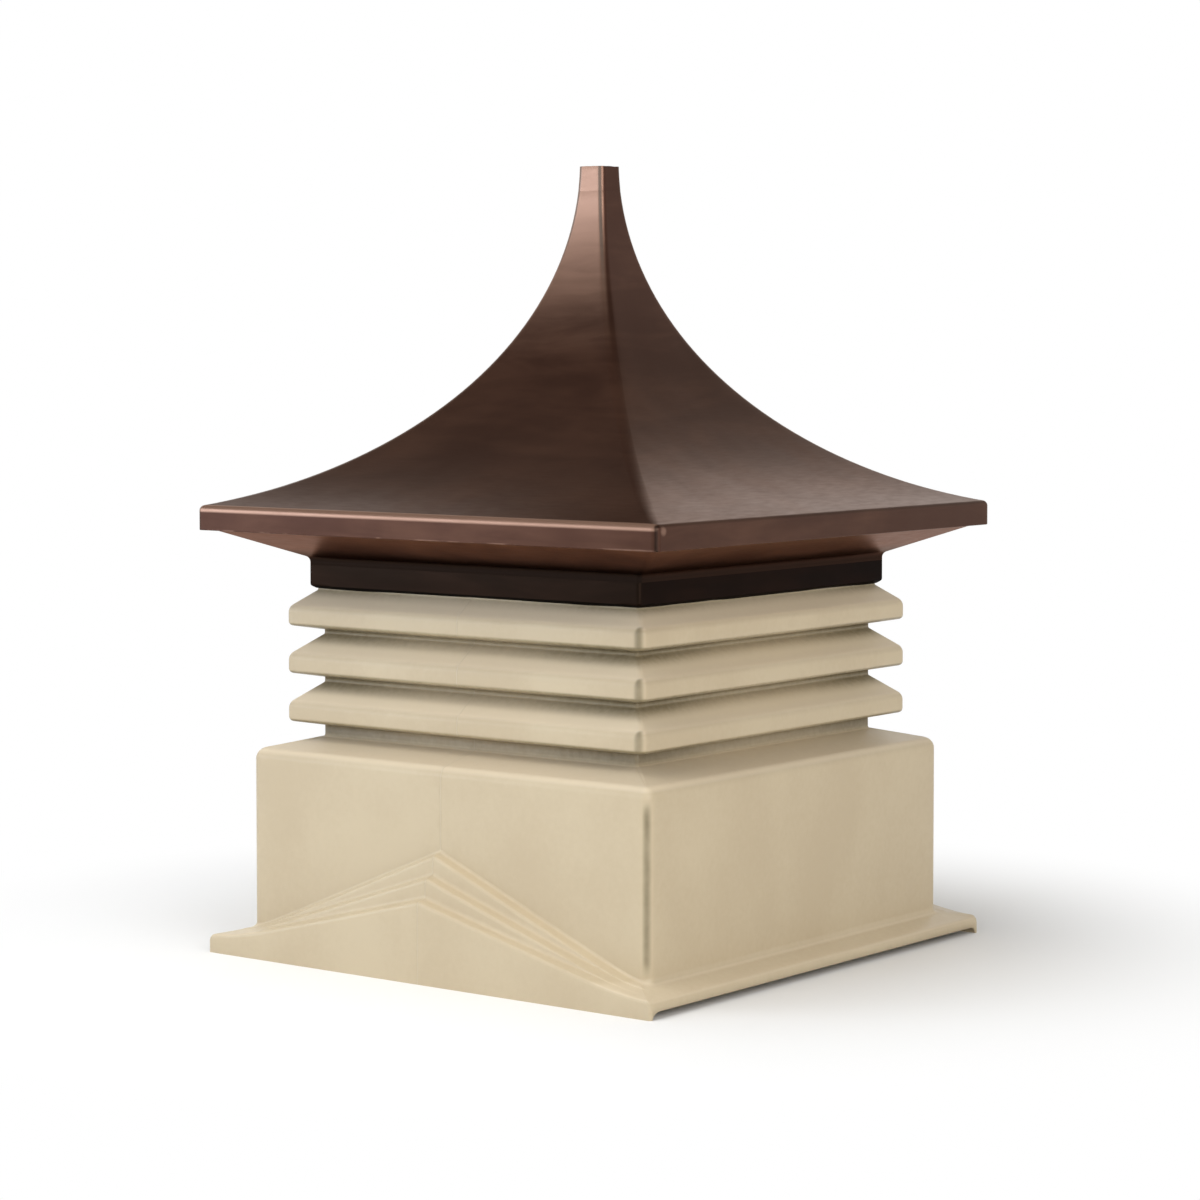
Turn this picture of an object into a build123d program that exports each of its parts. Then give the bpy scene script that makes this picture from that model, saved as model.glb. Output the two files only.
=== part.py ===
from build123d import *
import math
import os

# Overall sizes of the cupola, in millimetres. Z is up, the gable skirts face
# front (-Y) and back (+Y), and the eave flanges face left (-X) and right (+X).
HEIGHT = 967.0
WALL = 4.0
SHEET = 1.0
SPAN = 400.0

# Base box of the moulded body
BASE_HALF = 305.0
BASE_CORNER = 12.5
SHOULDER_EDGE = 249.4
SHOULDER_ROUND = 14.0
SHOULDER_TOP = 264.4
SHOULDER_LINE = 232.0

# Louvre tiers: three slats with a recess band between them
RECESS_HALF = 242.4
RECESS_ROUND = 4.0
SLAT_HALF = 275.2
SLAT_CORNER = 9.0
SLAT_FACE = 22.0
SLAT_SLOPE = math.tan(math.radians(37.7))
SLAT_TOP_ROUND = 9.0
SLAT_LOWER_ROUND = 3.5
SLAT_UNDERCUT = 6.0
SLAT_EDGES = {"bottom": 284.4, "middle": 343.9, "top": 402.5}

# Neck that carries the roof, inside the copper collar
NECK_HALF = 248.0
NECK_TOP = 480.0
NECK_FLANGE = 25.0

# Stepped gable skirts: ledges at roof pitches of 5, 4 and 3 in 12
PITCHES = {"5_in_12": 5 / 12, "4_in_12": 4 / 12, "3_in_12": 3 / 12}
STEP_DEPTH = 14.0
LEDGE_END = 23.5
LEDGE_ROUND = 3.8
SKIRT_FACE = BASE_HALF + len(PITCHES) * STEP_DEPTH

# Eave flanges and the feet at the four corners
FLANGE_HALF = 340.0
FLANGE_ROOT = 29.0
FLANGE_EDGE = 19.5
FLANGE_LIP = 8.5
FLANGE_ROUND = 3.8
FOOT_ROOT = 20.5
FOOT_EDGE = 13.5
FOOT_SWEEP = 13.0
CORNER_FILL = 16.0

# Copper roof: one circular arc in section, vertical at the socket
ARC_CENTRE = 455.9
ARC_HEIGHT = 973.7
ARC_RADIUS = 436.9
ARC_MIDDLE = 681.0
SOCKET_JOINT = 936.0
SOCKET_CORNER = 7.0
EAVE_HALF = 351.4
EAVE_ROLL = 7.0
HIP_ROUND = 8.0
HIP_FLAT = 4.5
EAVE_FLAT = 4.0
FASCIA_BOTTOM = 520.0
HEM_DEPTH = 9.0
HEM_SHEET = 2.0

# Copper soffit, and the collar that slips over the neck
SOFFIT_DROP = 35.0
SOFFIT_BEND = 8.0
COLLAR_HALF = 255.0
COLLAR_CORNER = 3.0
COLLAR_FOOT = 446.5
COLLAR_CURL = 5.5

SIDES = ["front", "right", "back", "left"]


# Square forms: a cross-section run along both directions and mitred
def square(half, corner, z):
    """A level square with rounded corners at height z."""
    return Pos(0, 0, z) * RectangleRounded(2 * half, 2 * half, corner)


def column(half, corner, low, high):
    """An upright square column with rounded corners between two heights."""
    return extrude(square(half, corner, low), high - low)


def inset(points, wall):
    """An outline of (half width, height, round) moved inwards by a wall."""
    lines = []
    for (w0, z0, _), (w1, z1, _) in zip(points, points[1:]):
        length = math.hypot(w1 - w0, z1 - z0)
        dw, dz = (w1 - w0) / length, (z1 - z0) / length
        lines.append((w0 - wall * dz, z0 + wall * dw, dw, dz))
    inner = [(points[0][0] - wall, points[0][1], 0)]
    for (w0, z0, a, b), (w1, z1, c, d), (_, _, radius) in zip(lines, lines[1:], points[1:]):
        bulge = a * d - b * c
        run = ((w1 - w0) * d - (z1 - z0) * c) / bulge
        change = -wall if bulge > 0 else wall
        inner.append((w0 + run * a, z0 + run * b, max(radius + change, 0) if radius else 0))
    inner.append((points[-1][0] - wall, points[-1][1], 0))
    return inner


def across(points):
    """The solid whose section across the cupola has this half outline."""
    right = [(w, z) for w, z, _ in points]
    left = [(-w, z) for w, z in reversed(right)]
    face = make_face(Polyline(*right, *left, close=True))
    for w, z, radius in points:
        if radius > 0:
            corners = [v for v in face.vertices() if abs(abs(v.X) - w) + abs(v.Y - z) < 0.05]
            face = fillet(corners, radius)
    return extrude(Plane.YZ * face, SPAN, both=True)


def front_quarter(solid):
    """What lies in front of the two diagonals, so that the sides meet in mitres."""
    plan = make_face(Polyline((0, 0), (SPAN, -SPAN), (-SPAN, -SPAN), close=True))
    return solid & extrude(plan, HEIGHT)


def front_skin(points, wall, half, corner, low, high):
    """The front side of a hollow square form, cut out between two heights."""
    outer = across(points) & column(half, corner, low, high)
    inner = across(inset(points, wall)) & column(half - wall, corner - wall, low, high)
    return front_quarter(outer - inner)


def all_sides(name, piece):
    """The front piece turned to each of the four sides, by node name."""
    return {f"{name}_{side}": Rot(0, 0, 90 * turn) * piece for turn, side in enumerate(SIDES)}


# Moulded body: one outline from the base wall up through the louvres to the neck
def body_outline():
    points = [
        (BASE_HALF, 0, 0),
        (BASE_HALF, SHOULDER_EDGE, SHOULDER_ROUND),
        (RECESS_HALF, SHOULDER_TOP, RECESS_ROUND),
    ]
    for name, edge in SLAT_EDGES.items():
        inner = NECK_HALF if name == "top" else RECESS_HALF
        rise = (SLAT_HALF - inner) * SLAT_SLOPE
        points.append((RECESS_HALF, edge - SLAT_UNDERCUT, 0))
        points.append((SLAT_HALF, edge, SLAT_LOWER_ROUND))
        points.append((SLAT_HALF, edge + SLAT_FACE, SLAT_TOP_ROUND))
        points.append((inner, edge + SLAT_FACE + rise, 0))
    points.append((NECK_HALF, NECK_TOP, 0))
    return points


def louvres():
    """Each slat reaches from its underside to the underside of the next one."""
    edges = list(SLAT_EDGES.values())
    lows = [edge - SLAT_UNDERCUT for edge in edges]
    highs = lows[1:] + [NECK_TOP]
    pieces = {}
    for name, low, high in zip(SLAT_EDGES, lows, highs):
        piece = front_skin(body_outline(), WALL, SLAT_HALF, SLAT_CORNER, low, high)
        if name == "top":
            piece += neck_flange()
        pieces.update(all_sides(f"louvre_{name}", piece))
    return pieces


def neck_flange():
    """Level strip inside the neck's top that the roof is screwed down to."""
    low = NECK_TOP - WALL
    outer = NECK_HALF - WALL
    strip = column(outer, WALL, low, NECK_TOP) - column(outer - NECK_FLANGE, WALL, low, NECK_TOP)
    return front_quarter(strip)


def shoulder():
    """Sloping top of the base box, with the recess band under the bottom slat."""
    top = SLAT_EDGES["bottom"] - SLAT_UNDERCUT
    return front_skin(body_outline(), WALL, BASE_HALF, BASE_CORNER, SHOULDER_LINE, top)


# Stepped gable skirt, built for the front and turned for the back
def ledge(x, pitch):
    """Height of a ledge along the gable."""
    return LEDGE_END + pitch * (BASE_HALF - abs(x))


def gable_band(pitch, lower_pitch, drop):
    """The area under one ledge line and over another line lowered by a drop."""
    upper = [(x, ledge(x, pitch)) for x in (-BASE_HALF, 0, BASE_HALF)]
    lower = [(x, ledge(x, lower_pitch) - drop) for x in (BASE_HALF, 0, -BASE_HALF)]
    return Plane.XZ * make_face(Polyline(*upper, *lower, close=True))


def skirt_face(pitch):
    """The lowest face, from the shallowest ledge down to the straight bottom edge."""
    upper = [(x, ledge(x, pitch)) for x in (-BASE_HALF, 0, BASE_HALF)]
    return Plane.XZ * make_face(Polyline(*upper, (BASE_HALF, 0), (-BASE_HALF, 0), close=True))


def pitch_step(number):
    """One step out: a ledge along its roof pitch and the upright face below it."""
    pitches = list(PITCHES.values())
    pitch = pitches[number]
    back = BASE_HALF + STEP_DEPTH * number
    front = back + STEP_DEPTH
    is_skirt = number == len(pitches) - 1
    face = skirt_face(pitch) if is_skirt else gable_band(pitch, pitches[number + 1], WALL)
    step = Pos(0, WALL - front, 0) * extrude(face, WALL)
    step += Pos(0, -back, 0) * extrude(gable_band(pitch, pitch, WALL), STEP_DEPTH)
    crest = []
    for edge in step.edges():
        middle = edge.center()
        if abs(middle.Y + front) < 0.01 and abs(middle.Z - ledge(middle.X, pitch)) < 0.01:
            crest.append(edge)
    return fillet(crest, LEDGE_ROUND)


def base_walls():
    """Front wall cut away under the steepest ledge, and side wall down to its flange."""
    wall = front_skin(body_outline(), WALL, BASE_HALF, BASE_CORNER, 0, SHOULDER_LINE)
    steepest = PITCHES["5_in_12"]
    line = [(x, LEDGE_END - WALL + steepest * (BASE_HALF - abs(x))) for x in (-SPAN, 0, SPAN)]
    under = make_face(Polyline((-SPAN, -SPAN), *line, (SPAN, -SPAN), close=True))
    front = wall - extrude(Plane.XZ * under, SPAN)
    side = Rot(0, 0, 90) * (wall - Box(2 * SPAN, 2 * SPAN, 2 * (FLANGE_ROOT - WALL)))
    return front, side


# Eave flange on the right, turned for the left
def eave_flange():
    slope = (FLANGE_ROOT - FLANGE_EDGE) / (FLANGE_HALF - BASE_HALF)
    inner = FLANGE_HALF - WALL
    points = [
        (BASE_HALF, FLANGE_ROOT),
        (FLANGE_HALF, FLANGE_EDGE),
        (FLANGE_HALF, FLANGE_LIP),
        (inner, FLANGE_LIP),
        (inner, FLANGE_EDGE - WALL + slope * WALL),
        (BASE_HALF, FLANGE_ROOT - WALL),
    ]
    flange = extrude(Plane.XZ * make_face(Polyline(*points, close=True)), BASE_HALF, both=True)
    outside = [e for e in flange.edges().filter_by(Axis.Y) if abs(e.center().X - FLANGE_HALF) < 0.01]
    flange = fillet(outside, FLANGE_ROUND)
    low = LEDGE_END - WALL
    middle = BASE_HALF - CORNER_FILL / 2
    wall = column(BASE_HALF, BASE_CORNER, 0, FLANGE_ROOT)
    for y in (-middle, middle):
        block = Box(CORNER_FILL, CORNER_FILL, FLANGE_ROOT - low)
        flange += Pos(middle, y, (low + FLANGE_ROOT) / 2) * block - wall
    return flange


def foot_section(x, root, edge):
    """Section of a corner foot: a sloping top over the skirt's upright face."""
    inner = WALL - SKIRT_FACE
    points = [(-BASE_HALF, root), (-SKIRT_FACE, edge), (-SKIRT_FACE, 0), (inner, 0)]
    points += [(inner, edge - WALL), (-BASE_HALF, root - WALL)]
    return Plane.YZ.offset(x) * make_face(Polyline(*points, close=True))


def corner_foot():
    """Foot at the front right corner, where the ledges run out into the flange."""
    near = foot_section(BASE_HALF, FLANGE_ROOT, FOOT_ROOT)
    far = foot_section(FLANGE_HALF, FLANGE_EDGE, FOOT_EDGE)
    skin = loft([near, far], ruled=True)
    inner = WALL - SKIRT_FACE
    sweep_end = inner + FOOT_SWEEP
    outline = [
        Line((-SKIRT_FACE, 0), (inner, 0)),
        EllipticalCenterArc((sweep_end, 0), FOOT_SWEEP, FLANGE_LIP, 90, arc_size=90),
        Polyline((sweep_end, FLANGE_LIP), (-BASE_HALF, FLANGE_LIP), (-BASE_HALF, FLANGE_EDGE)),
        Polyline((-BASE_HALF, FLANGE_EDGE), (-SKIRT_FACE, FOOT_EDGE), (-SKIRT_FACE, 0)),
    ]
    return skin + extrude(Plane.YZ.offset(FLANGE_HALF - WALL) * make_face(outline), WALL)


def gable_steps():
    """The three steps of one gable, the lowest with the feet at its two ends."""
    steps = [pitch_step(number) for number in range(len(PITCHES))]
    foot = corner_foot()
    steps[-1] += foot + mirror(foot, Plane.YZ)
    return dict(zip(PITCHES, steps))


# Copper roof panels
def arc_half(z, depth=0.0):
    """Half width of the roof at a height, on the arc or a sheet's depth inside it."""
    return ARC_CENTRE - math.sqrt((ARC_RADIUS + depth) ** 2 - (z - ARC_HEIGHT) ** 2)


def arc_height(half, depth=0.0):
    """Height at which the roof reaches a half width."""
    return ARC_HEIGHT - math.sqrt((ARC_RADIUS + depth) ** 2 - (ARC_CENTRE - half) ** 2)


def crossed(face, corner, ease=fillet):
    """An upright section run front to back and side to side, with its hips eased."""
    run = extrude(Plane.XZ * face, SPAN, both=True)
    form = run & (Rot(0, 0, 90) * run)
    hips = []
    for edge in form.edges():
        middle = edge.position_at(0.5)
        on_hip = abs(abs(middle.X) - abs(middle.Y)) < 0.01
        if on_hip and edge.bounding_box().size.Z > 1:
            hips.append(edge)
    return ease(hips, corner)


def flare_section(foot, depth=0.0):
    """Section of the roof: out along the foot's points, then up the arc to the socket."""
    edges = [Line(foot[0], (-foot[0][0], foot[0][1]))]
    tops = []
    for side in (1, -1):
        points = [(side * w, z) for w, z in foot]
        tops.append((side * arc_half(SOCKET_JOINT, depth), SOCKET_JOINT))
        through = (side * arc_half(ARC_MIDDLE, depth), ARC_MIDDLE)
        if len(points) > 1:
            edges.append(Polyline(*points))
        edges.append(ThreePointArc(points[-1], through, tops[-1]))
    edges.append(Line(*tops))
    return make_face(edges)


def roof_form():
    """Crown and fascia, with round hips and the eave's edge rolled over."""
    eave = arc_height(EAVE_HALF)
    crown = crossed(flare_section([(EAVE_HALF, eave)]), HIP_ROUND)
    form = crown & column(EAVE_HALF, HIP_ROUND, FASCIA_BOTTOM, HEIGHT)
    form += column(EAVE_HALF, HIP_ROUND, FASCIA_BOTTOM, eave)
    rim = []
    for edge in form.edges():
        middle = edge.center()
        level = edge.bounding_box()
        outside = max(abs(middle.X), abs(middle.Y)) > EAVE_HALF - HIP_ROUND
        if outside and level.min.Z > eave - 0.5 and level.max.Z < eave + EAVE_ROLL:
            rim.append(edge)
    return fillet(rim, EAVE_ROLL)


def roof_hollow():
    """What the sheet encloses, with narrow flats under the rolled eave and round hips."""
    half = EAVE_HALF - SHEET
    eave = half - EAVE_FLAT
    foot = [
        (half, FASCIA_BOTTOM),
        (half, arc_height(half, SHEET) - EAVE_FLAT),
        (eave, arc_height(eave, SHEET)),
    ]
    return crossed(flare_section(foot, SHEET), HIP_FLAT, chamfer)


def roof_panel():
    """Front panel: sheet crown and fascia, with a folded hem under the fascia."""
    corner = HIP_ROUND - SHEET
    low, high = FASCIA_BOTTOM, FASCIA_BOTTOM + HEM_SHEET
    rim = EAVE_HALF - HEM_DEPTH
    hem = column(EAVE_HALF - SHEET, corner, low, high) - column(rim, corner, low, high)
    return front_quarter(roof_form() - roof_hollow() + hem)


def socket_form(depth):
    """The socket's slightly tapered square, or the hollow a sheet's depth inside it."""
    bottom, top = arc_half(SOCKET_JOINT) - depth, arc_half(HEIGHT) - depth
    points = [(-bottom, SOCKET_JOINT), (bottom, SOCKET_JOINT), (top, HEIGHT), (-top, HEIGHT)]
    return crossed(make_face(Polyline(*points, close=True)), SOCKET_CORNER - depth)


def finial_socket():
    """Square tube at the very top that a finial's stem drops into."""
    return socket_form(0) - socket_form(SHEET)


# Copper soffit and collar
def under_roof():
    """Collar with a curled foot, bent outwards into the sloping soffit."""
    rim = FASCIA_BOTTOM + HEM_SHEET
    bend = rim - SOFFIT_DROP
    soffit_end = EAVE_HALF - HEM_DEPTH
    points = [
        (COLLAR_HALF - COLLAR_CURL, COLLAR_FOOT, 0),
        (COLLAR_HALF, COLLAR_FOOT + COLLAR_CURL, 0),
        (COLLAR_HALF, bend, SOFFIT_BEND),
        (soffit_end, rim, 0),
    ]
    collar = front_skin(points, SHEET, COLLAR_HALF, COLLAR_CORNER, COLLAR_FOOT, bend - SOFFIT_BEND)
    soffit = front_skin(points, SHEET, soffit_end, HIP_ROUND - SHEET, bend - SOFFIT_BEND, rim)
    return {**all_sides("collar", collar), **all_sides("soffit", soffit)}


def cupola():
    """Every piece of the cupola, by node name."""
    pieces = {"finial_socket": finial_socket()}
    pieces.update(all_sides("roof_panel", roof_panel()))
    pieces.update(under_roof())
    pieces.update(louvres())
    pieces.update(all_sides("shoulder", shoulder()))
    gable_wall, eave_wall = base_walls()
    flange = eave_flange()
    steps = gable_steps()
    for turn, gable, eave in ((0, "front", "right"), (180, "back", "left")):
        pieces[f"base_wall_{gable}"] = Rot(0, 0, turn) * gable_wall
        pieces[f"base_wall_{eave}"] = Rot(0, 0, turn) * eave_wall
        pieces[f"eave_flange_{eave}"] = Rot(0, 0, turn) * flange
        for name, step in steps.items():
            pieces[f"pitch_step_{name}_{gable}"] = Rot(0, 0, turn) * step
    return pieces


os.makedirs("parts", exist_ok=True)
for node, solid in cupola().items():
    export_step(solid, f"parts/{node}.step")
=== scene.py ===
import logging
import math
from collections.abc import Callable, Iterable, Sequence
from dataclasses import dataclass
from enum import Enum

import bmesh
import bpy
from mathutils import Matrix, Vector, noise


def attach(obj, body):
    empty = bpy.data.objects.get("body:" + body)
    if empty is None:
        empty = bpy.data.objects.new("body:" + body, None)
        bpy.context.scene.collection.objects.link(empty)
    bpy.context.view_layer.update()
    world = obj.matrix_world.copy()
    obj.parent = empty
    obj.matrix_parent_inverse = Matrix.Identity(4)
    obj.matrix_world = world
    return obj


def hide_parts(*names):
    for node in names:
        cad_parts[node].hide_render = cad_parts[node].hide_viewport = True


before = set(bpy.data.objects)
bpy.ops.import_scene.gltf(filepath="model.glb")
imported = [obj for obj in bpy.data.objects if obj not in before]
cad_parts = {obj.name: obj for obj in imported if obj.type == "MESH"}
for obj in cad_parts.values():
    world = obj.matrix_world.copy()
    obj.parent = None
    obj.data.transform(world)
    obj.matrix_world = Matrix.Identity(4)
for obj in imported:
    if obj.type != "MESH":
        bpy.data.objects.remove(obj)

LOG = logging.getLogger("barn_cupola")

# Sizes are millimetres, as they are in the part's source, also in the finishes' marks. The lamps
# and the floor's radius are in metres, and so is every finished mesh.
METRE = 1000.0
SIDES = ("front", "right", "back", "left")

WHITE = "#FFFFFF"
# The light of the lamps on the left and in front, a little cool, as daylight
COOL = "#DCEAFF"

# Sockets of the Mix node in its colour form
MIX_FACTOR = 0
MIX_A = 6
MIX_B = 7
MIX_RESULT = 2

# Vertices closer than this many millimetres are one
SAME_PLACE = 0.001

# How much of a line each of the rounds at its ends may take, so that they never meet
NEARLY_HALF = 0.48

# How far the large faces rule the shading of their edges, of 100
SHADING_WEIGHT = 80

# The middle part of a noise's values, which is spread over a roughness span
NOISE_LOW = 0.3
NOISE_HIGH = 0.7

# Where a soft step is nought and where it is one; for a roughness, its least and its most
Span = tuple[float, float]


class Slot(Enum):
    """The record's material slots."""

    COPPER = "copper_roof"
    BODY = "moulded_body"


def linear(hex_colour: str) -> tuple[float, float, float, float]:
    """Turns an sRGB hex colour into the linear colour that a shader takes.

    Args:
        hex_colour: A colour such as "#CFC4AC".

    Returns:
        Red, green, blue and an alpha of one.
    """
    values = []
    for start in (1, 3, 5):
        channel = int(hex_colour[start : start + 2], 16) / 255
        values.append(channel / 12.92 if channel <= 0.04045 else ((channel + 0.055) / 1.055) ** 2.4)
    return (*values, 1.0)


def pattern_scale(size_mm: float) -> float:
    """Scale of a noise on Object coordinates whose marks are this many millimetres across."""
    return METRE / size_mm


def add_node(
    tree: bpy.types.NodeTree,
    kind: str,
    settings: dict | None = None,
    links: dict | None = None,
) -> bpy.types.Node:
    """Adds a node with its settings and its links.

    Args:
        tree: The node tree that it goes into.
        kind: The node's type name.
        settings: Values by property, or by input socket name or number.
        links: Output sockets by the input socket's name or number.

    Returns:
        The new node.
    """
    node = tree.nodes.new(kind)
    for name, value in (settings or {}).items():
        if isinstance(name, str) and hasattr(node, name):
            setattr(node, name, value)
        else:
            node.inputs[name].default_value = value
    for name, source in (links or {}).items():
        tree.links.new(source, node.inputs[name])
    return node


def add_field(
    tree: bpy.types.NodeTree, kind: str, settings: dict, links: dict, output: int | str = 0
) -> "Field":
    """Adds a node as add_node does, and returns one of its outputs as a value."""
    return Field(tree, add_node(tree, kind, settings, links).outputs[output])


@dataclass(frozen=True)
class Field:
    """A value that varies over a surface: a node's output on which sums can be done."""

    tree: bpy.types.NodeTree
    socket: bpy.types.NodeSocket

    def reckon(self, operation: str, *others: "float | Field") -> "Field":
        """Does one sum on this value.

        Args:
            operation: The Math node's operation.
            others: What the sum takes besides this value, in order.

        Returns:
            The result.
        """
        settings = {"operation": operation}
        links = {0: self.socket}
        for number, other in enumerate(others, 1):
            if isinstance(other, Field):
                links[number] = other.socket
            else:
                settings[number] = other
        return add_field(self.tree, "ShaderNodeMath", settings, links)

    def __add__(self, other: "float | Field") -> "Field":
        """This value and another one together."""
        return self.reckon("ADD", other)

    def __sub__(self, other: "float | Field") -> "Field":
        """This value less another one."""
        return self.reckon("SUBTRACT", other)

    def __mul__(self, other: "float | Field") -> "Field":
        """This value times another one."""
        return self.reckon("MULTIPLY", other)

    def __abs__(self) -> "Field":
        """This value without its sign."""
        return self.reckon("ABSOLUTE")

    def larger(self, other: "float | Field") -> "Field":
        """The larger of this value and another one."""
        return self.reckon("MAXIMUM", other)

    def step(self, span: Span) -> "Field":
        """A soft step, nought at the span's first number and one at its second."""
        settings = {"interpolation_type": "SMOOTHSTEP", "From Min": span[0], "From Max": span[1]}
        return add_field(self.tree, "ShaderNodeMapRange", settings, {"Value": self.socket})

    def spread(self, span: Span) -> "Field":
        """A noise's middle values spread over a span, such as a roughness."""
        ends = {"From Min": NOISE_LOW, "From Max": NOISE_HIGH, "To Min": span[0], "To Max": span[1]}
        return add_field(self.tree, "ShaderNodeMapRange", ends, {"Value": self.socket})


@dataclass(frozen=True)
class Patch:
    """What every finish shares to build its patterns in one material."""

    tree: bpy.types.NodeTree
    place: bpy.types.NodeSocket

    def axis(self, name: str) -> Field:
        """The X, Y or Z coordinate on the object, in millimetres."""
        return add_field(self.tree, "ShaderNodeSeparateXYZ", {}, {0: self.place}, name) * METRE

    def off_middle(self) -> tuple[Field, Field]:
        """How far a point lies from the object's middle, along X and along Y."""
        return abs(self.axis("X")), abs(self.axis("Y"))

    def away_from(self, centre: tuple[float, float, float]) -> Field:
        """How far a point lies from a centre, in millimetres.

        Args:
            centre: The centre, in millimetres.

        Returns:
            The distance.
        """
        settings = {"operation": "DISTANCE", 1: tuple(part / METRE for part in centre)}
        links = {0: self.place}
        return add_field(self.tree, "ShaderNodeVectorMath", settings, links, "Value") * METRE

    def facing_up(self) -> Field:
        """How far a face looks up, from minus one to one."""
        facing = add_node(self.tree, "ShaderNodeNewGeometry").outputs["Normal"]
        return add_field(self.tree, "ShaderNodeSeparateXYZ", {}, {0: facing}, "Z")

    def noise(
        self,
        size_mm: float,
        detail: float = 3.0,
        stretch: tuple[float, float, float] = (1.0, 1.0, 1.0),
        warp: float = 0.0,
    ) -> Field:
        """Cloudy noise from nought to one.

        Args:
            size_mm: About how large its marks are.
            detail: How many finer layers it has.
            stretch: How many times longer the marks are along each axis.
            warp: How far the marks are bent.

        Returns:
            The noise's value.
        """
        scale = tuple(1.0 / part for part in stretch)
        lie = add_node(self.tree, "ShaderNodeMapping", {"Scale": scale}, {"Vector": self.place})
        settings = {"Scale": pattern_scale(size_mm), "Detail": detail, "Distortion": warp}
        return add_field(self.tree, "ShaderNodeTexNoise", settings, {"Vector": lie.outputs[0]})

    def mix(self, amount: Field, first: str | Field, second: str | Field) -> Field:
        """Two colours mixed by an amount.

        Args:
            amount: Nought for the first colour, one for the second.
            first: A hex colour, or a colour that varies.
            second: A hex colour, or a colour that varies.

        Returns:
            The mixed colour.
        """
        settings = {"data_type": "RGBA"}
        links = {MIX_FACTOR: amount.socket}
        for number, colour in ((MIX_A, first), (MIX_B, second)):
            if isinstance(colour, Field):
                links[number] = colour.socket
            else:
                settings[number] = linear(colour)
        return add_field(self.tree, "ShaderNodeMix", settings, links, MIX_RESULT)

    def relief(self, height: Field, depth_mm: float, below: Field | None = None) -> Field:
        """Relief of a real depth.

        Args:
            height: The relief's height, from nought to one.
            depth_mm: How deep the relief is.
            below: A relief that this one lies on.

        Returns:
            The normal.
        """
        links = {"Height": height.socket}
        if below is not None:
            links["Normal"] = below.socket
        settings = {"Strength": 1.0, "Distance": depth_mm / METRE}
        return add_field(self.tree, "ShaderNodeBump", settings, links)

    def dress(self, shader: bpy.types.Node, colour: Field, rough: Field, normal: Field) -> None:
        """Links a finish's colour, roughness and relief to its shader."""
        for name, field in (("Base Color", colour), ("Roughness", rough), ("Normal", normal)):
            self.tree.links.new(field.socket, shader.inputs[name])


def new_material(name: str) -> tuple[bpy.types.Material, Patch, bpy.types.Node]:
    """Makes an empty material with its shader.

    Args:
        name: The material's name.

    Returns:
        The material, the patterns' helper and the shader node.
    """
    material = bpy.data.materials.new(name)
    material.use_nodes = True
    tree = material.node_tree
    tree.nodes.clear()
    shader = add_node(tree, "ShaderNodeBsdfPrincipled")
    add_node(tree, "ShaderNodeOutputMaterial", links={"Surface": shader.outputs[0]})
    place = add_node(tree, "ShaderNodeTexCoord").outputs["Object"]
    return material, Patch(tree, place), shader


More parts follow.
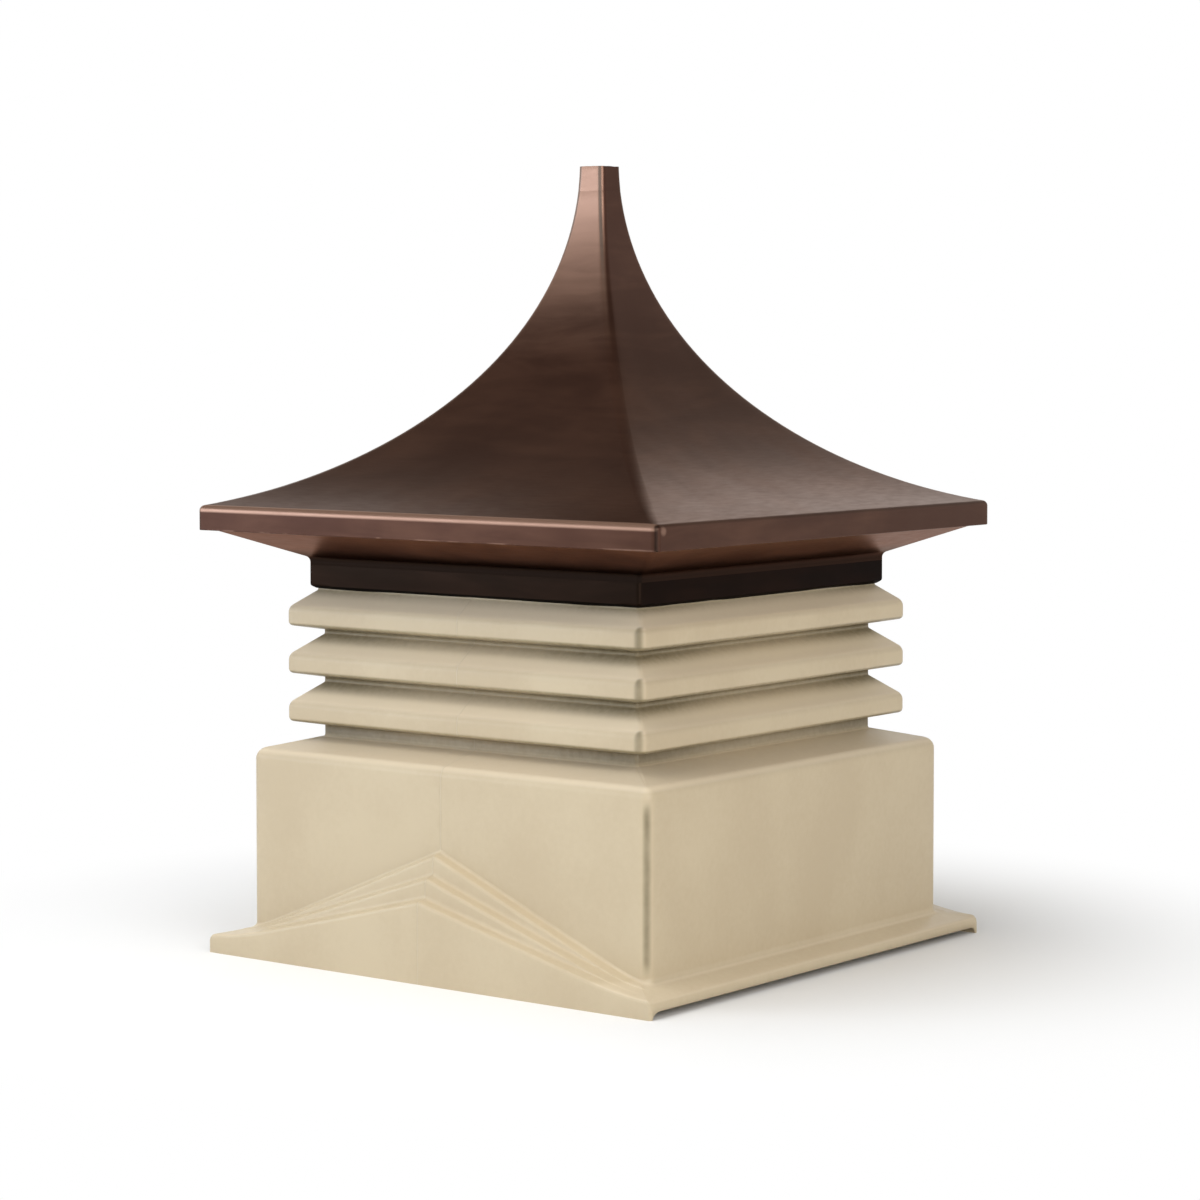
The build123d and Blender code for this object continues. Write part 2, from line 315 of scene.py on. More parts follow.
@dataclass(frozen=True)
class PatinatedCopper:
    """Copper sheet, brushed, darkened with a brown patina and wiped back by hand.

    It gives the eye a satin brown metal with a pinkish painted highlight up the spire and along
    the eave's roll, front and left. Spans named "out" are measured from the object's middle,
    "corner" is the sum of both such distances, and "height" is measured from the floor.
    """

    name: str = "patinated_copper_sheet"
    dark: str = "#452D24"
    brown: str = "#573C30"
    # Pinkish copper: the painted highlight, and bare copper where chafed and at the solder spot
    highlight_and_bare: str = "#AC8976"
    # Near black: painted shade on the soffit by the collar, and the dark joints of the mitres
    shade_and_gap: str = "#1B130F"
    solder: str = "#6B635C"
    edge: str = "#F4E8E0"
    metallic: float = 0.85
    roughness: Span = (0.28, 0.42)
    # How much shows of the painted highlights (the bare copper too), the painted shade by the
    # collar, the mitres' gaps, the solder and bare copper
    highlight_and_wear: float = 0.88
    shaded_to_collar: float = 0.0
    gaping: float = 0.8
    soldered: float = 0.7
    bared: float = 0.45
    cloud_mm: float = 120.0
    cloud_stretch: tuple[float, float, float] = (1.6, 1.6, 1.0)
    cloud_share: float = 0.65
    wipe_mm: float = 26.0
    wipe_stretch: tuple[float, float, float] = (5.0, 5.0, 0.8)
    tone: Span = (0.38, 0.66)
    # Real brush lines are finer; these are as coarse as they need to be to show
    brush_mm: float = 1.6
    brush_stretch: tuple[float, float, float] = (14.0, 14.0, 1.0)
    brush_share: float = 0.4
    brush_depth_mm: float = 0.015
    dent_mm: float = 70.0
    dent_depth_mm: float = 0.6
    # The painted highlight up the spire and along the eave's roll
    highlight_height: Span = (750.0, 970.0)
    highlight_ragged: float = 60.0
    roll_out: Span = (344.0, 346.2)
    roll_height: Span = (541.5, 544.5)
    front_left: Span = (4.0, -4.0)
    mitre_corner: Span = (693.5, 696.0)
    mitre_beside: Span = (5.5, 1.0)
    spot_centre: tuple[float, float, float] = (351.0, -339.0, 542.5)
    spot_radius: Span = (7.0, 2.0)
    fascia_out: Span = (346.0, 349.0)
    chafed_height: Span = (524.5, 522.5)
    chafed_ragged: float = 4.0
    chafed_mm: float = 45.0
    chafed: Span = (0.50, 0.62)
    # Where the painted shade on the soffit runs, towards the collar
    shade_out: Span = (292.0, 258.0)
    solder_beside: Span = (7.5, 5.0)
    solder_hip: Span = (0.0, 2.5)
    solder_height: Span = (800.0, 900.0)

    def material(self) -> bpy.types.Material:
        """Builds the material.

        Returns:
            The material.
        """
        material, patch, shader = new_material(self.name)
        clouds = patch.noise(self.cloud_mm, 4.0, self.cloud_stretch, 0.4)
        wipes = patch.noise(self.wipe_mm, 5.0, self.wipe_stretch, 0.6)
        tone = clouds * self.cloud_share + wipes * (1 - self.cloud_share)
        colour = patch.mix(tone.step(self.tone), self.dark, self.brown)
        # The marks: painted highlight, solder, painted shade by the collar, the mitres' gaps, bare
        # copper
        for amount, mark in (
            (self.painted_highlight(patch, wipes), self.highlight_and_bare),
            (self.hip_solder(patch), self.solder),
            (self.collar_shade(patch), self.shade_and_gap),
            (self.mitre_gap(patch), self.shade_and_gap),
            (self.bright_marks(patch, wipes), self.highlight_and_bare),
        ):
            colour = patch.mix(amount, colour, mark)
        shader.inputs["Metallic"].default_value = self.metallic
        shader.inputs["Specular Tint"].default_value = linear(self.edge)
        brushing = patch.noise(self.brush_mm, 2.0, self.brush_stretch)
        sheen = clouds * (1 - self.brush_share) + brushing * self.brush_share
        dents = patch.relief(patch.noise(self.dent_mm, 1.0), self.dent_depth_mm)
        brushed = patch.relief(brushing, self.brush_depth_mm, dents)
        patch.dress(shader, colour, sheen.spread(self.roughness), brushed)
        return material

    def painted_highlight(self, patch: Patch, wipes: Field) -> Field:
        """Painted highlight: pinkish copper up the spire and along the eave's roll, front and left.

        Args:
            patch: The material's patterns.
            wipes: The noise of the wipe marks.

        Returns:
            How strong the painted highlight is.
        """
        # Painted highlight up the spire, standing in for its reflection
        spire = (wipes * self.highlight_ragged + patch.axis("Z")).step(self.highlight_height)
        across, along = patch.off_middle()
        # Painted highlight along the eave's roll
        roll = across.larger(along).step(self.roll_out) * patch.axis("Z").step(self.roll_height)
        return spire.larger(roll) * self.lit_and_handled(patch) * self.highlight_and_wear

    def lit_and_handled(self, patch: Patch) -> Field:
        """One on the front and left of the roof: where the highlights are painted and hands have
        chafed.
        """
        return (patch.axis("X") + patch.axis("Y")).step(self.front_left)

    def mitre_gap(self, patch: Patch) -> Field:
        """The dark joint where two fascias meet at a corner of the eave.

        Args:
            patch: The material's patterns.

        Returns:
            How dark the gap is.
        """
        across, along = patch.off_middle()
        beside = abs(along - across).step(self.mitre_beside)
        return (across + along).step(self.mitre_corner) * beside * self.gaping

    def bright_marks(self, patch: Patch, wipes: Field) -> Field:
        """Bare copper: a spot of solder by the front mitre and chafed places along the foot.

        Args:
            patch: The material's patterns.
            wipes: The noise of the wipe marks.

        Returns:
            How much of the bare copper shows.
        """
        spot = patch.away_from(self.spot_centre).step(self.spot_radius)
        foot = (wipes * self.chafed_ragged + patch.axis("Z")).step(self.chafed_height)
        across, along = patch.off_middle()
        fascia = across.larger(along).step(self.fascia_out)
        places = patch.noise(self.chafed_mm, 3.0).step(self.chafed)
        chafed = foot * places * self.lit_and_handled(patch) * fascia
        return spot.larger(chafed) * (self.bared * self.highlight_and_wear)

    def collar_shade(self, patch: Patch) -> Field:
        """Painted shade: the soffit darkens towards its bend into the collar, under the roof."""
        across, along = patch.off_middle()
        return across.larger(along).step(self.shade_out) * self.shaded_to_collar

    def hip_solder(self, patch: Patch) -> Field:
        """The grey solder run along the hips, showing towards the top.

        Args:
            patch: The material's patterns.

        Returns:
            How much of the solder shows.
        """
        across, along = patch.off_middle()
        apart = along - across
        band = apart.step(self.solder_beside) * apart.step(self.solder_hip)
        return band * patch.axis("Z").step(self.solder_height) * self.soldered


@dataclass(frozen=True)
class MouldedPolyethylene:
    """Rotationally moulded polyethylene, coloured right through, as it left its mould.

    It gives the eye a soft satin beige with faint clouds, fine pits and a parting line down
    each gable side. Its spans are measured as the copper's are.
    """

    name: str = "moulded_polyethylene_beige"
    beige: str = "#C4B394"
    shade: str = "#BDAB8C"
    # Lighter beige: painted light on faces that look up
    top_lit: str = "#DECDB0"
    # Dark olive: painted shade with some dust in the recesses, and the darker corner line and spots
    dark_olive: str = "#7A6D50"
    line: str = "#CFC1A6"
    ior: float = 1.51
    roughness: Span = (0.36, 0.46)
    cloud_mm: float = 160.0
    cloud_stretch: tuple[float, float, float] = (1.0, 1.0, 1.3)
    cloud_share: float = 0.8
    tone: Span = (0.36, 0.66)
    mottle_mm: float = 7.0
    swell_mm: float = 80.0
    swell_depth_mm: float = 0.12
    # Real pits are finer; these are as coarse as they need to be to show
    pit_mm: float = 2.4
    pit_depth_mm: float = 0.06
    parting: Span = (0.9, 0.27)
    parting_depth_mm: float = 0.5
    parting_pale: float = 0.5
    # Painted top light: how far a face looks up, and how much shows on slopes, flanges and ledges
    upward: Span = (0.40, 0.80)
    slope_height: Span = (200.0, 245.0)
    slope_light: float = 0.80
    flange_height: Span = (36.0, 30.0)
    flange_light: float = 0.45
    ledge_light: float = 0.08
    # A darker soft line down the front right corner of the box, and darker spots on the slats' tips
    # there
    line_ragged_mm: float = 22.0
    line_aside: float = 1.0
    line_beside: Span = (10.0, 0.5)
    line_corner: Span = (598.5, 601.5)
    line_foot: Span = (30.0, 60.0)
    line_head: Span = (240.0, 218.0)
    tip_aside: float = 6.0
    tip_beside: Span = (11.0, 1.0)
    tip_corner: Span = (534.0, 540.0)
    tip_end: Span = (552.0, 548.0)
    tip_height: Span = (272.0, 276.0)
    # Painted shade, with some dust, in the recesses and on faces that look down, thickest towards
    # the corners
    recess_out: Span = (262.0, 244.0)
    recess_height: Span = (262.0, 270.0)
    recess_corner: Span = (300.0, 480.0)
    downward: Span = (-0.2, -0.75)

    def material(self) -> bpy.types.Material:
        """Builds the material.

        Returns:
            The material.
        """
        material, patch, shader = new_material(self.name)
        clouds = patch.noise(self.cloud_mm, 3.0, self.cloud_stretch, 0.3)
        mottle = patch.noise(self.mottle_mm, 4.0)
        tone = clouds * self.cloud_share + mottle * (1 - self.cloud_share)
        parting = abs(patch.axis("X")).step(self.parting)
        colour = patch.mix(tone.step(self.tone), self.beige, self.shade)
        # The marks: painted top light, the parting line, painted shade with dust in the recesses,
        # the darker corner line
        for amount, mark in (
            (self.painted_top_light(patch), self.top_lit),
            (parting * self.parting_pale, self.line),
            (self.recess_shade_and_dust(patch, mottle), self.dark_olive),
            (self.corner_darkening(patch), self.dark_olive),
        ):
            colour = patch.mix(amount, colour, mark)
        shader.inputs["IOR"].default_value = self.ior
        swell = patch.relief(patch.noise(self.swell_mm, 1.0), self.swell_depth_mm)
        pits = patch.relief(patch.noise(self.pit_mm, 2.0), self.pit_depth_mm, swell)
        raised = patch.relief(parting, self.parting_depth_mm, pits)
        patch.dress(shader, colour, mottle.spread(self.roughness), raised)
        return material

    def painted_top_light(self, patch: Patch) -> Field:
        """Painted light on faces that look up: the slopes most, the flanges less, the ledges
        hardly.

        Args:
            patch: The material's patterns.

        Returns:
            How much painted light shows.
        """
        height = patch.axis("Z")
        slopes = height.step(self.slope_height) * self.slope_light
        flanges = height.step(self.flange_height) * self.flange_light
        amount = slopes.larger(flanges).larger(self.ledge_light)
        return patch.facing_up().step(self.upward) * amount

    def corner_darkening(self, patch: Patch) -> Field:
        """A darker soft line down the front right corner of the box, and darker spots on the tips
        there.

        Args:
            patch: The material's patterns.

        Returns:
            How dark the line and spots are.
        """
        across = patch.axis("X")
        along = patch.axis("Y") * -1.0
        height = patch.axis("Z")
        out = across + along
        beside = along - across
        upright = height.step(self.line_foot) * height.step(self.line_head)
        line = abs(beside - self.line_aside).step(self.line_beside)
        box = out.step(self.line_corner) * upright * line
        spot = abs(beside - self.tip_aside).step(self.tip_beside)
        tips = out.step(self.tip_corner) * out.step(self.tip_end) * height.step(self.tip_height)
        ragged = patch.noise(self.line_ragged_mm, 2.0) * 0.7 + 0.45
        return box.larger(tips * spot) * ragged

    def recess_shade_and_dust(self, patch: Patch, mottle: Field) -> Field:
        """Painted shade with some olive dust, in the recesses and under the slats, thickest by the
        corners.

        Args:
            patch: The material's patterns.
            mottle: The noise of the fine mottles.

        Returns:
            How thick the dust lies.
        """
        across, along = patch.off_middle()
        inner = across.larger(along).step(self.recess_out)
        deep = inner.larger(patch.facing_up().step(self.downward))
        above = patch.axis("Z").step(self.recess_height)
        corner = (across + along).step(self.recess_corner) * 0.35 + 0.45
        return deep * above * corner * (mottle * 0.6 + 0.7)


@dataclass
class Piece:
    """One visual piece: its mesh in millimetres and what it stands for."""

    name: str
    mesh: bmesh.types.BMesh
    material: bpy.types.Material
    slot: Slot
    nodes: Sequence[str] = ()
    wall: float = 0.0
    sharp_degrees: float = 40.0

    def place(self) -> None:
        """Makes the object in metres, gives it its wall and sets it on the frame."""
        bmesh.ops.remove_doubles(self.mesh, verts=self.mesh.verts[:], dist=SAME_PLACE)
        self.mesh.transform(Matrix.Scale(1 / METRE, 4))
        data = bpy.data.meshes.new(self.name)
        self.mesh.to_mesh(data)
        self.mesh.free()
        data.shade_smooth()
        data.set_sharp_from_angle(angle=math.radians(self.sharp_degrees))
        data.materials.append(self.material)
        piece = bpy.data.objects.new(self.name, data)
        bpy.context.scene.collection.objects.link(piece)
        if self.wall:
            wall = piece.modifiers.new("wall", "SOLIDIFY")
            wall.thickness = self.wall / METRE
            wall.offset = -1.0
            wall.use_even_offset = True
            wall.use_quality_normals = True
        shading = piece.modifiers.new("even_shading", "WEIGHTED_NORMAL")
        shading.keep_sharp = True
        shading.weight = SHADING_WEIGHT
        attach(piece, "root")
        if self.nodes:
            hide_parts(*self.nodes)
        LOG.info("%s: %d faces, stands for %s", self.name, len(data.polygons), list(self.nodes))


class SquareSkin:
    """A skin drawn from one rounded square loop to the next, so its corners run on smoothly."""

    def __init__(
        self, half: float, height: float, corner: float, cuts: int = 15, arc: int = 6
    ) -> None:
        """Starts the skin with its first loop.

        Args:
            half: Half of the square's width.
            height: The loop's height.
            corner: The radius of its corners.
            cuts: How many cuts each side has.
            arc: How many facets each corner has.
        """
        self.mesh = bmesh.new()
        self.half = half
        self.corner = corner
        self.rounds: list[tuple[list[bmesh.types.BMEdge], float, int]] = []
        bmesh.ops.create_grid(self.mesh, x_segments=1, y_segments=1, size=half)
        bmesh.ops.bevel(
            self.mesh,
            geom=self.mesh.verts[:],
            offset=corner,
            offset_type="OFFSET",
            segments=arc,
            profile=0.5,
            affect="VERTICES",
            material=-1,
        )
        bmesh.ops.delete(self.mesh, geom=self.mesh.faces[:], context="FACES_ONLY")
        sides = [edge for edge in self.mesh.edges if edge.calc_length() > half / 2]
        bmesh.ops.subdivide_edges(self.mesh, edges=sides, cuts=cuts)
        bmesh.ops.translate(self.mesh, verts=self.mesh.verts[:], vec=(0, 0, height))
        self.loop = self.mesh.edges[:]

    def draw(
        self, half: float, height: float, corner: float | None = None
    ) -> list[bmesh.types.BMEdge]:
        """Draws the skin on to its next loop.

        Args:
            half: Half of the new loop's width.
            height: Its height.
            corner: The radius of its corners, if it changes.

        Returns:
            The new loop's edges.
        """
        corner = self.corner if corner is None else corner
        for vert in self.extrude():
            vert.co.x = self.widen(vert.co.x, half, corner)
            vert.co.y = self.widen(vert.co.y, half, corner)
            vert.co.z = height
        self.half = half
        self.corner = corner
        return self.loop[:]

    def extrude(self) -> set[bmesh.types.BMVert]:
        """Extrudes the last loop where it lies.

        Returns:
            The new loop's vertices.
        """
        made = bmesh.ops.extrude_edge_only(self.mesh, edges=self.loop)["geom"]
        verts = {part for part in made if isinstance(part, bmesh.types.BMVert)}
        edges = [part for part in made if isinstance(part, bmesh.types.BMEdge)]
        self.loop = [edge for edge in edges if edge.verts[0] in verts and edge.verts[1] in verts]
        return verts

    def widen(self, place: float, half: float, corner: float) -> float:
        """Moves one coordinate of a loop to where it lies on a loop of another size.

        Args:
            place: The coordinate.
            half: Half of the new loop's width.
            corner: The radius of its corners.

        Returns:
            The new coordinate.
        """
        straight = self.half - self.corner
        away = abs(place) - straight
        if away > 0:
            return math.copysign(half - corner + away * corner / self.corner, place)
        return place * (half - corner) / straight

    def round_off(
        self, edges: list[bmesh.types.BMEdge], radius: float, turn: float, facets: int
    ) -> None:
        """Rounds a loop of edges once the skin is drawn.

        Args:
            edges: The loop's edges.
            radius: The round's radius.
            turn: How far the skin turns there, in degrees.
            facets: How many facets the round has.
        """
        self.rounds.append((edges, radius * math.tan(math.radians(turn / 2)), facets))

    def finished(self) -> bmesh.types.BMesh:
        """Rounds the loops and turns the faces outwards.

        Returns:
            The skin's mesh.
        """
        for edges, offset, facets in self.rounds:
            bmesh.ops.bevel(
                self.mesh,
                geom=edges,
                offset=offset,
                offset_type="OFFSET",
                segments=facets,
                profile=0.5,
                affect="EDGES",
                material=-1,
            )
        bmesh.ops.recalc_face_normals(self.mesh, faces=self.mesh.faces[:])
        widest = max(self.mesh.faces, key=lambda face: abs(face.calc_center_median().x))
        if widest.normal.x * widest.calc_center_median().x < 0:
            bmesh.ops.reverse_faces(self.mesh, faces=self.mesh.faces[:])
        return self.mesh


def shift_verts(
    mesh: bmesh.types.BMesh,
    chosen: Callable[[Vector], bool],
    move: Callable[[Vector], Vector],
) -> None:
    """Moves the vertices of a mesh that a test picks.

    Args:
        mesh: The mesh.
        chosen: Says of a vertex's place whether it moves.
        move: Gives how far a vertex at a place moves.
    """
    for vert in mesh.verts:
        if chosen(vert.co):
            vert.co += move(vert.co)


def cloudiness(place: Vector) -> float:
    """Smooth noise from nought to one, the same on each run."""
    return 0.5 + 0.5 * noise.noise(place)


def all_sides(name: str) -> list[str]:
    """The names of the four side nodes of one ring."""
    return [f"{name}_{side}" for side in SIDES]


@dataclass
class CopperRoof:
    """The flared roof skin with its fascia and hem, and the socket at its top."""

    copper: bpy.types.Material
    arc_centre: float = 455.9
    arc_height: float = 973.7
    arc_radius: float = 436.9
    eave_half: float = 351.4
    eave_roll: float = 7.0
    fascia_bottom: float = 520.0
    fascia_corner: float = 8.0
    hem_depth: float = 8.5
    hem_rise: float = 0.9
    hem_round: float = 1.2
    hip_top: float = 7.0
    hip_low: float = 12.5
    hip_length: float = 260.0
    eave_ease: float = 22.0
    joint: float = 936.0
    tube_corner: float = 6.5
    tube_loops: tuple[float, ...] = (942.0, 948.0, 954.0, 960.0)
    top: float = 967.0
    rim_drop: float = 0.9
    rim_wave: float = 0.12
    sheet: float = 1.0
    stations: int = 44

    def half_at(self, height: float) -> float:
        """Half width of the roof at a height."""
        return self.arc_centre - math.sqrt(self.arc_radius**2 - (height - self.arc_height) ** 2)

    def eave_height(self) -> float:
        """Height at which the arc reaches the fascia."""
        across = self.arc_centre - self.eave_half
        return self.arc_height - math.sqrt(self.arc_radius**2 - across**2)

    def hip_at(self, height: float) -> float:
        """Radius of the hips in plan, which opens out down the roof and closes at the eave.

        Args:
            height: The height.

        Returns:
            The radius.
        """
        down = min(1.0, (self.joint - height) / self.hip_length)
        opened = self.hip_top + (self.hip_low - self.hip_top) * down * down * (3 - 2 * down)
        near_eave = max(0.0, 1 - (height - self.eave_height()) / self.eave_ease)
        return opened + (self.fascia_corner - opened) * near_eave

    def build(self) -> None:
        """Builds the skin and the socket."""
        self.build_skin()
        self.build_socket()

    def build_skin(self) -> None:
        """Hem, fascia and flare in one continuous skin."""
        low = self.fascia_bottom
        inner = self.eave_half - self.hem_depth
        skin = SquareSkin(inner, low + self.hem_rise, self.fascia_corner, cuts=23)
        hem = skin.draw(self.eave_half, low)
        eave = skin.draw(self.eave_half, self.eave_height())
        start = math.asin((self.arc_height - self.eave_height()) / self.arc_radius)
        end = math.asin((self.arc_height - self.joint) / self.arc_radius)
        for number in range(1, self.stations + 1):
            turn = start + (end - start) * number / self.stations
            height = self.arc_height - self.arc_radius * math.sin(turn)
            skin.draw(self.half_at(height), height, self.hip_at(height))
        skin.round_off(eave, self.eave_roll, turn=76, facets=6)
        skin.round_off(hem, self.hem_round, turn=84, facets=3)
        mesh = skin.finished()
        nodes = all_sides("roof_panel")
        Piece("roof_skin", mesh, self.copper, Slot.COPPER, nodes, self.sheet).place()

    def build_socket(self) -> None:
        """Square tube with a hand-cut rim."""
        skin = SquareSkin(self.half_at(self.joint), self.joint, self.hip_top, cuts=7)
        for height in (*self.tube_loops, self.top):
            skin.draw(self.half_at(height), height, self.tube_corner)
        mesh = skin.finished()

        def uneven(co: Vector) -> Vector:
            """How far the rim drops at a place."""
            return Vector((0, 0, -self.rim_drop * cloudiness(co * self.rim_wave)))

        shift_verts(mesh, lambda co: co.z > self.top - SAME_PLACE, uneven)
        nodes = ["finial_socket"]
        Piece("finial_socket_tube", mesh, self.copper, Slot.COPPER, nodes, self.sheet).place()


@dataclass
class CopperUnderside:
    """The sloping soffit and the collar that slips over the neck."""

    soffit_copper: bpy.types.Material
    shaded_collar_copper: bpy.types.Material
    rim_half: float = 342.2
    rim_height: float = 521.8
    rim_corner: float = 7.5
    collar_half: float = 255.0
    collar_corner: float = 5.0
    bend_height: float = 485.4
    bend: float = 8.0
    seam: float = 476.5
    foot: float = 446.5
    curl: float = 5.5
    foot_rise: float = 1.6
    foot_wave: float = 0.018
    loops: int = 4
    sheet: float = 1.0

    def build(self) -> None:
        """Builds the soffit and the collar."""
        skin = SquareSkin(self.collar_half, self.seam, self.collar_corner, cuts=23)
        bend = skin.draw(self.collar_half, self.bend_height)
        for number in range(1, self.loops + 1):
            way = number / self.loops
            half = self.collar_half + (self.rim_half - self.collar_half) * way
            height = self.bend_height + (self.rim_height - self.bend_height) * way
            corner = self.collar_corner + (self.rim_corner - self.collar_corner) * way
            skin.draw(half, height, corner)
        skin.round_off(bend, self.bend, turn=67, facets=4)
        mesh = skin.finished()
        nodes = all_sides("soffit")
        Piece("soffit_skin", mesh, self.soffit_copper, Slot.COPPER, nodes, self.sheet).place()
        self.build_collar()

    def build_collar(self) -> None:
        """Upright band whose foot curls in and waves a little, as it was dressed by hand."""
        skin = SquareSkin(self.collar_half, self.seam, self.collar_corner, cuts=31)
        skin.draw(self.collar_half, self.foot + 2.2 * self.curl)
        fold = skin.draw(self.collar_half, self.foot + 0.8 * self.curl)
        skin.draw(self.collar_half - 0.9 * self.curl, self.foot)
        skin.round_off(fold, self.curl, turn=48, facets=3)
        mesh = skin.finished()
        low = self.foot + self.curl

        def wave(co: Vector) -> Vector:
            """How far the foot's edge rises at a place."""
            amount = cloudiness(Vector((co.x, co.y, 0)) * self.foot_wave)
            return Vector((0, 0, self.foot_rise * amount * (low - co.z) / self.curl))

        shift_verts(mesh, lambda co: co.z < low, wave)
        nodes = all_sides("collar")
        Piece("collar_band", mesh, self.shaded_collar_copper, Slot.COPPER, nodes, self.sheet).place()


@dataclass
class LouvredBody:
    """Three slats, the recesses between them and the neck."""

    plastic: bpy.types.Material
    recess_half: float = 242.4
    recess_corner: float = 4.0
    tip_half: float = 275.2
    tip_corner: float = 9.0
    tip_face: float = 22.0
    slope_degrees: float = 37.7
    top_round: float = 12.0
    lower_round: float = 5.5
    root_round: float = 3.0
    undercut: float = 6.0
    neck_half: float = 248.0
    neck_top: float = 480.0
    tiers: tuple[tuple[str, float], ...] = (("bottom", 284.4), ("middle", 343.9), ("top", 402.5))
    wall: float = 4.0

    def build(self) -> None:
        """Builds each tier, up to the underside of the next one."""
        edges = [edge for _, edge in self.tiers]
        ends = [edge - self.undercut for edge in edges[1:]] + [self.neck_top]
        for (name, edge), end in zip(self.tiers, ends):
            inner = self.neck_half if name == "top" else self.recess_half
            self.build_tier(name, edge, inner, end)

    def build_tier(self, name: str, edge: float, inner: float, end: float) -> None:
        """Builds one slat with the recess or neck above it.

        Args:
            name: The tier's name.
            edge: Height of the slat's lower edge.
            inner: Half width of what rises from the slat.
            end: Height at which the tier ends.
        """
        rise = (self.tip_half - inner) * math.tan(math.radians(self.slope_degrees))
        skin = SquareSkin(self.recess_half, edge - self.undercut, self.recess_corner)
        lower = skin.draw(self.tip_half, edge, self.tip_corner)
        upper = skin.draw(self.tip_half, edge + self.tip_face)
        root = skin.draw(inner, edge + self.tip_face + rise, self.recess_corner)
        skin.draw(inner, end)
        turn = 90 - self.slope_degrees
        skin.round_off(lower, self.lower_round, turn=80, facets=4)
        skin.round_off(upper, self.top_round, turn, facets=6)
        skin.round_off(root, self.root_round, turn, facets=3)
        mesh = skin.finished()
        nodes = all_sides(f"louvre_{name}")
        Piece(f"louvre_{name}", mesh, self.plastic, Slot.BODY, nodes, self.wall).place()


@dataclass
class BaseBox:
    """The square box under the louvres with its sloping shoulder."""

    plastic: bpy.types.Material
    half: float = 305.0
    corner: float = 12.5
    foot: float = 21.0
    shoulder_edge: float = 249.4
    shoulder_round: float = 14.0
    shoulder_turn: float = 76.5
    root_round: float = 4.0
    recess_half: float = 242.4
    recess_corner: float = 4.0
    shoulder_top: float = 264.4
    top: float = 278.4
    ledge_end: float = 23.5
    highest_pitch: float = 5 / 12
    wall: float = 4.0

    def build(self) -> None:
        """Builds the walls, the shoulder and the recess band on it."""
        skin = SquareSkin(self.half, self.foot, self.corner)
        edge = skin.draw(self.half, self.shoulder_edge)
        root = skin.draw(self.recess_half, self.shoulder_top, self.recess_corner)
        skin.draw(self.recess_half, self.top)
        skin.round_off(edge, self.shoulder_round, self.shoulder_turn, facets=7)
        skin.round_off(root, self.root_round, self.shoulder_turn, facets=4)
        mesh = skin.finished()
        self.cut_gables(mesh)
        nodes = all_sides("base_wall") + all_sides("shoulder")
        Piece("base_box", mesh, self.plastic, Slot.BODY, nodes, self.wall).place()

    def cut_gables(self, mesh: bmesh.types.BMesh) -> None:
        """Ends the gable walls along the highest ledge, so nothing stands behind the skirts.

        Args:
            mesh: The box's mesh.
        """
        for side in (-1, 1):
            walls = self.gable_faces(mesh)
            faces = [face for face in walls if face.calc_center_median().x * side > 0]
            edges = {edge for face in faces for edge in face.edges}
            verts = {vert for face in faces for vert in face.verts}
            bmesh.ops.bisect_plane(
                mesh,
                geom=[*verts, *edges, *faces],
                plane_co=(side * self.half, 0, self.ledge_end),
                plane_no=(side * self.highest_pitch, 0, 1),
            )
        walls = self.gable_faces(mesh)
        below = [face for face in walls if self.under_ledge(face.calc_center_median())]
        bmesh.ops.delete(mesh, geom=below, context="FACES")

    def gable_faces(self, mesh: bmesh.types.BMesh) -> list[bmesh.types.BMFace]:
        """Finds the flat faces of the two gable walls.

        Args:
            mesh: The box's mesh.

        Returns:
            The faces.
        """
        flat = []
        for face in mesh.faces:
            middle = face.calc_center_median()
            if abs(middle.y) > self.half - SAME_PLACE and middle.z < self.shoulder_edge:
                flat.append(face)
        return flat

    def under_ledge(self, middle: Vector) -> bool:
        """Whether a point of a gable wall lies below the highest ledge."""
        return middle.z < self.ledge_end + self.highest_pitch * (self.half - abs(middle.x))


def softened(
    corners: list[tuple[float, float]], radius: float, facets: int
) -> list[tuple[float, float]]:
    """Rounds the corners of a section, however short the lines between them are.

    Args:
        corners: The section's corners; its first and last points stay as they are.
        radius: How far from a corner its round begins, at most.
        facets: How many facets each round has.

    Returns:
        The rounded section's points, the same number for every section.
    """
    rounded = [corners[0]]
    for before, corner, after in zip(corners, corners[1:], corners[2:]):
        ends = []
        for other in (before, after):
            line = Vector(other) - Vector(corner)
            reach = min(radius, line.length * NEARLY_HALF)
            ends.append(Vector(corner) + line.normalized() * reach)
        for number in range(facets + 1):
            way = number / facets
            first = ends[0].lerp(Vector(corner), way)
            last = Vector(corner).lerp(ends[1], way)
            rounded.append(tuple(first.lerp(last, way)))
    rounded.append(corners[-1])
    return rounded


